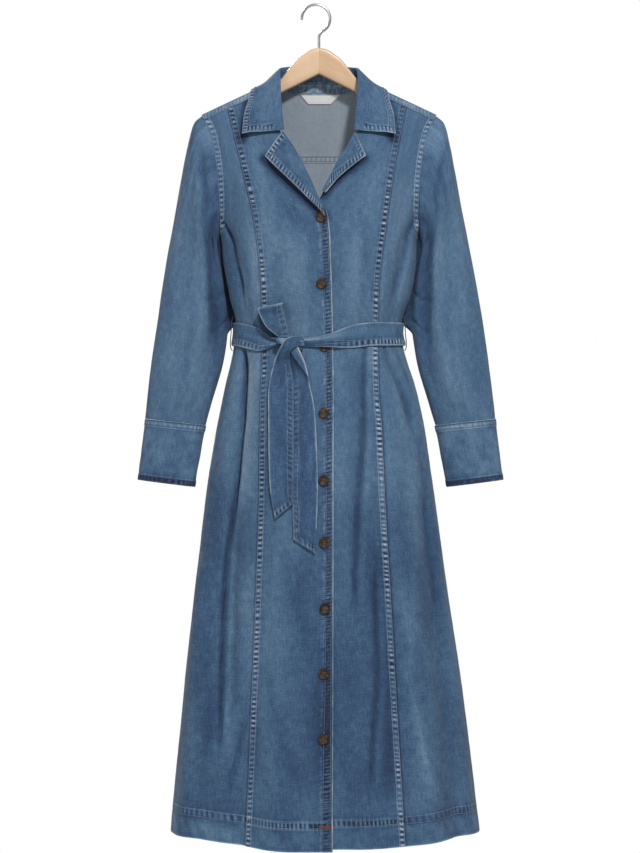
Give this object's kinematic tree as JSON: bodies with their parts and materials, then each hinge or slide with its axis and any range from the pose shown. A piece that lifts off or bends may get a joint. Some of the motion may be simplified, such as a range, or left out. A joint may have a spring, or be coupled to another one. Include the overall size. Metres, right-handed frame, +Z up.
{
  "type": "shirt dress on a hanger",
  "caption": "Long-sleeved denim shirt dress with turned lapels, front buttons, tied belt and flared skirt, hanging on a wooden hanger with a metal hook.",
  "frame": {"origin": "the inside top of the hanger's hook, on the rail that holds it up (mount hook)", "axes": "+Z up, the dress faces -Y, the wearer's left side is at +X"},
  "size_m": [0.6109, 0.217, 1.3955],
  "materials": {
    "denim": "mid-blue washed cotton denim, matte twill",
    "thread": "dark brown sewing thread cord",
    "button": "mottled brown, horn look",
    "label": "white woven cotton, bare",
    "hanger_wood": "light beech, satin varnish",
    "hook_steel": "bright plated steel wire"
  },
  "bodies": {
    "root": {"bodice_center_right": "denim", "bodice_center_left": "denim", "bodice_side_right": "denim", "bodice_side_left": "denim", "bodice_back": "denim", "skirt_center_right": "denim", "skirt_center_left": "denim", "skirt_side_right": "denim", "skirt_side_left": "denim", "skirt_back": "denim", "back_yoke": "denim", "sleeve_right": "denim", "sleeve_left": "denim", "cuff_right": "denim", "cuff_left": "denim", "collar": "denim", "lapel_right": "denim", "lapel_left": "denim", "belt_band": "denim", "belt_knot": "denim", "belt_loop": "denim", "belt_tail_front": "denim", "belt_tail_rear": "denim", "belt_carrier_right": "thread", "belt_carrier_left": "thread", "button_1": "button", "button_2": "button", "button_3": "button", "button_4": "button", "button_5": "button", "button_6": "button", "button_7": "button", "button_8": "button", "button_9": "button", "neck_label": "label", "hanger_body": "hanger_wood", "hanger_hook": "hook_steel"}
  },
  "joints": []
}
